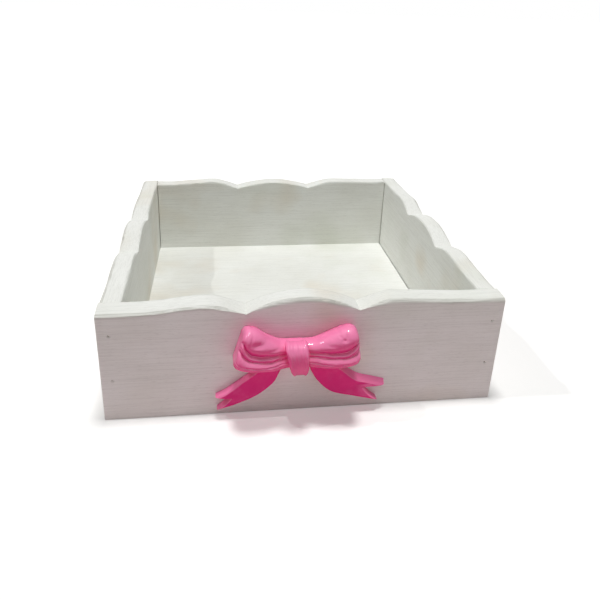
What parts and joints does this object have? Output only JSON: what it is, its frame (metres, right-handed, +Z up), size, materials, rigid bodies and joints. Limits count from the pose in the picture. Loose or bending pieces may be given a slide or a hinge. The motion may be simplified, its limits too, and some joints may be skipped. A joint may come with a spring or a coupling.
{
  "type": "napkin tray",
  "caption": "Open square wooden napkin tray with a scalloped rim on all four walls, an inset floor board and a cast ribbon bow glued to the front.",
  "frame": {"origin": "middle of the tray's flat underside, which is the surface it rests on", "axes": "+Z up, +Y from the front with the bow towards the back, +X to the right seen from the front"},
  "size_m": [0.2, 0.2153, 0.065],
  "materials": {
    "painted_wood": "white brushed paint on softwood boards, satin",
    "bow_enamel": "glossy pink enamel on a cast resin bow",
    "brad_steel": "bare steel wire"
  },
  "bodies": {
    "root": {"front_panel": "painted_wood", "back_panel": "painted_wood", "left_panel": "painted_wood", "right_panel": "painted_wood", "floor_panel": "painted_wood", "bow": "bow_enamel", "front_left_brads": "brad_steel", "front_right_brads": "brad_steel", "back_left_brads": "brad_steel", "back_right_brads": "brad_steel", "floor_left_brads": "brad_steel", "floor_right_brads": "brad_steel", "floor_back_brads": "brad_steel"}
  },
  "joints": []
}
